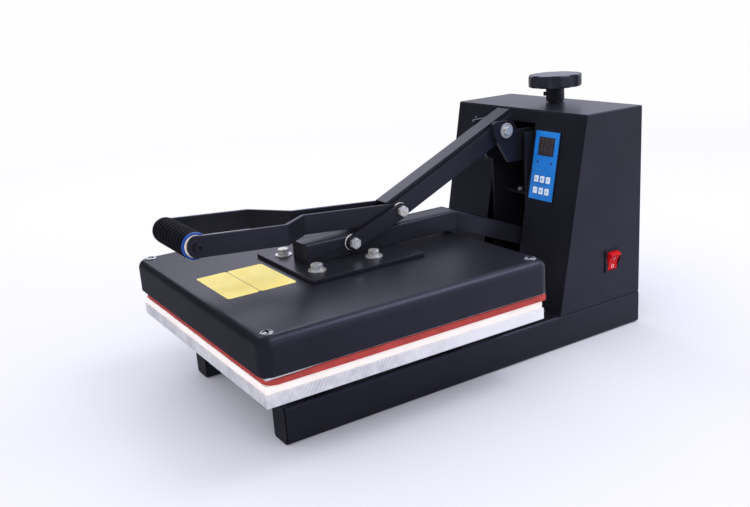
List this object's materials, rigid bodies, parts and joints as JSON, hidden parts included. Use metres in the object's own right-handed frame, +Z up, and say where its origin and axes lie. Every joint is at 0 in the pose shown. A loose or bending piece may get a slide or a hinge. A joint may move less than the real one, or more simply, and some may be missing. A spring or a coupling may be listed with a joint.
{
  "type": "flat heat press",
  "caption": "Clamshell flat heat press: square padded bed, hinged heated head, toggle lever with a foam grip, pressure knob and a control tower, shown closed.",
  "frame": {"origin": "on the table, under the middle of the whole press's box", "axes": "+X to the machine's right, where the panel and the switch are; +Y to the back, from the grip to the tower; +Z up"},
  "size_m": [0.39, 0.6436, 0.3513],
  "materials": {
    "powder_coat_black": "satin black powder coat",
    "milled_aluminium": "sawn and milled, matt",
    "white_foam": "matt silicone sponge",
    "red_silicone": "matt",
    "zinc_steel": "bright zinc plate",
    "ground_steel": "ground",
    "black_plastic": "fine grain",
    "blue_overlay": "semi-gloss printed film",
    "dark_display": "gloss",
    "red_lamp": "gloss",
    "green_board": "satin solder mask",
    "grey_plastic": "matt",
    "white_key": "satin",
    "red_rocker": "translucent gloss",
    "black_foam": "matt foam",
    "blue_plastic": "gloss",
    "cream_plastic": "matt",
    "white_nylon": "matt",
    "black_steel": "black oxide",
    "sheathed_element": "oxidised",
    "mineral_wool": "matt fibre board"
  },
  "bodies": {
    "base": {"base_tubes": "powder_coat_black", "tube_end_caps": "black_plastic", "cross_bars": "powder_coat_black", "bed_plate": "milled_aluminium", "foam_pad": "white_foam", "silicone_mat": "red_silicone", "frame_bolts": "zinc_steel", "tower_floor": "powder_coat_black", "tower_front": "powder_coat_black", "tower_left": "powder_coat_black", "tower_right": "powder_coat_black", "tower_top": "powder_coat_black", "tower_back": "powder_coat_black", "tower_screws": "ground_steel", "columns": "powder_coat_black", "column_brace": "powder_coat_black", "spindle_bridge": "powder_coat_black", "hinge_shaft": "ground_steel", "panel_housing": "black_plastic", "panel_overlay": "blue_overlay", "display_window": "dark_display", "indicator_lamps": "red_lamp", "circuit_board": "green_board", "relay": "grey_plastic", "switch_housing": "black_plastic", "fuse_holder": "black_plastic", "cable_gland": "black_plastic"},
    "arm": {"swing_plates": "powder_coat_black", "swing_box": "powder_coat_black", "mount_plate": "powder_coat_black", "mount_bolts": "zinc_steel", "heat_platen": "milled_aluminium", "heating_element": "sheathed_element", "insulation": "mineral_wool", "platen_cover": "powder_coat_black", "cover_screws": "zinc_steel", "temperature_sensor": "zinc_steel", "arm_pivot_bolt": "zinc_steel"},
    "yoke": {"yoke": "powder_coat_black", "lever_pivot_bolt": "zinc_steel"},
    "knob": {"pressure_knob": "black_plastic", "pressure_screw": "ground_steel"},
    "lever": {"lever_bars": "powder_coat_black", "lever_channel": "powder_coat_black", "grip_tube": "ground_steel", "foam_grip": "black_foam", "grip_rings": "blue_plastic", "grip_washers": "cream_plastic", "grip_bolts": "black_steel"},
    "links": {"toggle_links": "powder_coat_black", "knee_bolts": "zinc_steel", "nylon_washers": "white_nylon"},
    "rocker": {"rocker": "red_rocker"},
    "button_1": {"button_1": "white_key"},
    "button_2": {"button_2": "white_key"},
    "button_3": {"button_3": "white_key"},
    "button_4": {"button_4": "white_key"},
    "button_5": {"button_5": "white_key"},
    "button_6": {"button_6": "white_key"}
  },
  "joints": [
    {"name": "arm_lift", "type": "hinge", "parent": "base", "child": "arm", "pos_m": [0, 0.2404, 0.1128], "axis": [-1, 0, 0], "range_deg": [0, 33]},
    {"name": "knob_turn", "type": "hinge", "parent": "yoke", "child": "knob", "pos_m": [0, 0.2808, 0.33], "axis": [0, 0, 1], "range_deg": [0, 1080]},
    {"name": "yoke_lift", "type": "slide", "parent": "base", "child": "yoke", "axis": [0, 0, 1], "range_m": [0, 0.006]},
    {"name": "lever_swing", "type": "hinge", "parent": "yoke", "child": "lever", "pos_m": [0, 0.16554, 0.2875], "axis": [-1, 0, 0], "range_deg": [0, 68.45]},
    {"name": "link_swing", "type": "hinge", "parent": "arm", "child": "links", "pos_m": [0, -0.0886, 0.18], "axis": [1, 0, 0], "range_deg": [0, 85.46]},
    {"name": "rocker_tilt", "type": "hinge", "parent": "base", "child": "rocker", "pos_m": [0.135, 0.256, 0.105], "axis": [0, -1, 0], "range_deg": [0, 40]},
    {"name": "button_1_press", "type": "slide", "parent": "base", "child": "button_1", "axis": [0, 0.9827, -0.1853], "range_m": [0, 0.0006], "stiffness_N_per_m": 400},
    {"name": "button_2_press", "type": "slide", "parent": "base", "child": "button_2", "axis": [0, 0.9827, -0.1853], "range_m": [0, 0.0006], "stiffness_N_per_m": 400},
    {"name": "button_3_press", "type": "slide", "parent": "base", "child": "button_3", "axis": [0, 0.9827, -0.1853], "range_m": [0, 0.0006], "stiffness_N_per_m": 400},
    {"name": "button_4_press", "type": "slide", "parent": "base", "child": "button_4", "axis": [0, 0.9827, -0.1853], "range_m": [0, 0.0006], "stiffness_N_per_m": 400},
    {"name": "button_5_press", "type": "slide", "parent": "base", "child": "button_5", "axis": [0, 0.9827, -0.1853], "range_m": [0, 0.0006], "stiffness_N_per_m": 400},
    {"name": "button_6_press", "type": "slide", "parent": "base", "child": "button_6", "axis": [0, 0.9827, -0.1853], "range_m": [0, 0.0006], "stiffness_N_per_m": 400}
  ],
  "couplings": [
    {"joint": "lever_swing", "follows": "arm_lift", "ratio": 2.0728},
    {"joint": "link_swing", "follows": "arm_lift", "ratio": 2.5881},
    {"joint": "knob_turn", "follows": "yoke_lift", "rad_per_m": 3141.6}
  ]
}
